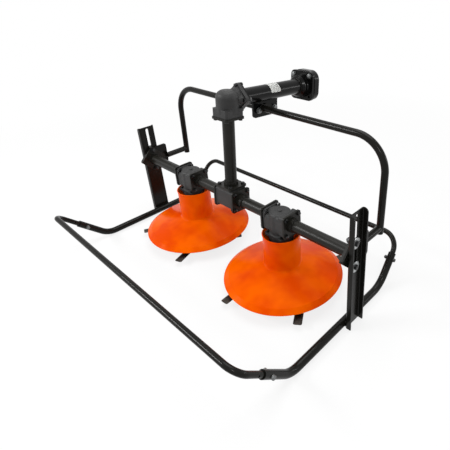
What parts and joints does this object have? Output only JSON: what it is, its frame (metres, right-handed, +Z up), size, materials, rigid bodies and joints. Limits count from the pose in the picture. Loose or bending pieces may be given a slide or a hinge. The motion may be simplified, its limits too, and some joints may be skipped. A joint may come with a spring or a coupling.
{
  "type": "rotary mower",
  "caption": "Rotary mower attachment for a two-wheel tractor: orange open-topped drums with swinging knives under a gearbox beam, riser, hitch tube and tubular guard.",
  "frame": {"origin": "on the ground, under the middle of the machine's bounding box", "axes": "+X across the machine, +Y back towards the tractor, +Z up"},
  "size_m": [1.1786, 0.942, 0.6972],
  "materials": {
    "casting": "satin black paint over sand casting",
    "black_paint": "satin black powder coat",
    "orange_paint": "gloss orange powder coat",
    "knife_steel": "dark rolled spring steel",
    "dark_steel": "satin black paint",
    "coupling_steel": "machined steel"
  },
  "bodies": {
    "frame": {"centre_gearbox": "casting", "elbow_gearbox": "casting", "riser_tube": "black_paint", "input_tube": "black_paint", "hitch_flange": "casting", "hoop_plate": "black_paint", "left_gearbox": "casting", "left_outer_tube": "black_paint", "left_inner_tube": "black_paint", "left_hoop": "black_paint", "left_hoop_bracket": "black_paint", "right_gearbox": "casting", "right_outer_tube": "black_paint", "right_inner_tube": "black_paint", "right_hoop": "black_paint", "right_hoop_bracket": "black_paint"},
    "input_coupling": {"input_coupling": "coupling_steel"},
    "guard": {"front_bar": "black_paint", "rear_bar": "black_paint", "left_skid_tube": "black_paint", "left_post": "black_paint", "right_skid_tube": "black_paint", "right_post": "black_paint"},
    "right_rotor": {"right_drum": "orange_paint", "right_knife_carrier": "dark_steel"},
    "right_bowl": {"right_bowl": "dark_steel"},
    "right_knife_1": {"right_knife_1": "knife_steel"},
    "right_knife_2": {"right_knife_2": "knife_steel"},
    "right_knife_3": {"right_knife_3": "knife_steel"},
    "right_knife_4": {"right_knife_4": "knife_steel"},
    "left_rotor": {"left_drum": "orange_paint", "left_knife_carrier": "dark_steel"},
    "left_bowl": {"left_bowl": "dark_steel"},
    "left_knife_1": {"left_knife_1": "knife_steel"},
    "left_knife_2": {"left_knife_2": "knife_steel"},
    "left_knife_3": {"left_knife_3": "knife_steel"},
    "left_knife_4": {"left_knife_4": "knife_steel"}
  },
  "joints": [
    {"name": "right_rotor_spin", "type": "hinge", "parent": "frame", "child": "right_rotor", "pos_m": [0.26, 0.00549, 0.12], "axis": [0, 0, 1], "continuous": true},
    {"name": "right_bowl_spin", "type": "hinge", "parent": "right_rotor", "child": "right_bowl", "pos_m": [0.26, 0.00549, 0.02], "axis": [0, 0, 1], "continuous": true},
    {"name": "right_knife_1_swing", "type": "hinge", "parent": "right_rotor", "child": "right_knife_1", "pos_m": [0.18767, -0.14281, 0.024], "axis": [0, 0, 1], "range_deg": [-120, 60]},
    {"name": "right_knife_2_swing", "type": "hinge", "parent": "right_rotor", "child": "right_knife_2", "pos_m": [0.4083, -0.06685, 0.024], "axis": [0, 0, 1], "range_deg": [-60, 120]},
    {"name": "right_knife_3_swing", "type": "hinge", "parent": "right_rotor", "child": "right_knife_3", "pos_m": [0.33233, 0.15379, 0.024], "axis": [0, 0, 1], "range_deg": [-100, 80]},
    {"name": "right_knife_4_swing", "type": "hinge", "parent": "right_rotor", "child": "right_knife_4", "pos_m": [0.1117, 0.07782, 0.024], "axis": [0, 0, 1], "range_deg": [-78, 102]},
    {"name": "left_rotor_spin", "type": "hinge", "parent": "frame", "child": "left_rotor", "pos_m": [-0.26, 0.00549, 0.12], "axis": [0, 0, 1], "continuous": true},
    {"name": "left_bowl_spin", "type": "hinge", "parent": "left_rotor", "child": "left_bowl", "pos_m": [-0.26, 0.00549, 0.02], "axis": [0, 0, 1], "continuous": true},
    {"name": "left_knife_1_swing", "type": "hinge", "parent": "left_rotor", "child": "left_knife_1", "pos_m": [-0.3864, -0.10057, 0.024], "axis": [0, 0, 1], "range_deg": [-111, 69]},
    {"name": "left_knife_2_swing", "type": "hinge", "parent": "left_rotor", "child": "left_knife_2", "pos_m": [-0.15394, -0.12091, 0.024], "axis": [0, 0, 1], "range_deg": [-69, 111]},
    {"name": "left_knife_3_swing", "type": "hinge", "parent": "left_rotor", "child": "left_knife_3", "pos_m": [-0.1336, 0.11155, 0.024], "axis": [0, 0, 1], "range_deg": [-15, 165]},
    {"name": "left_knife_4_swing", "type": "hinge", "parent": "left_rotor", "child": "left_knife_4", "pos_m": [-0.36606, 0.13188, 0.024], "axis": [0, 0, 1], "range_deg": [-104, 76]},
    {"name": "input_spin", "type": "hinge", "parent": "frame", "child": "input_coupling", "pos_m": [0, 0.44046, 0.61592], "axis": [0, 0.9969, -0.0785], "continuous": true},
    {"name": "guard_height", "type": "slide", "parent": "frame", "child": "guard", "axis": [0, 0, 1], "range_m": [-0.09, 0]}
  ],
  "couplings": [
    {"joint": "left_rotor_spin", "follows": "right_rotor_spin", "ratio": -1},
    {"joint": "input_spin", "follows": "right_rotor_spin", "ratio": 1}
  ]
}
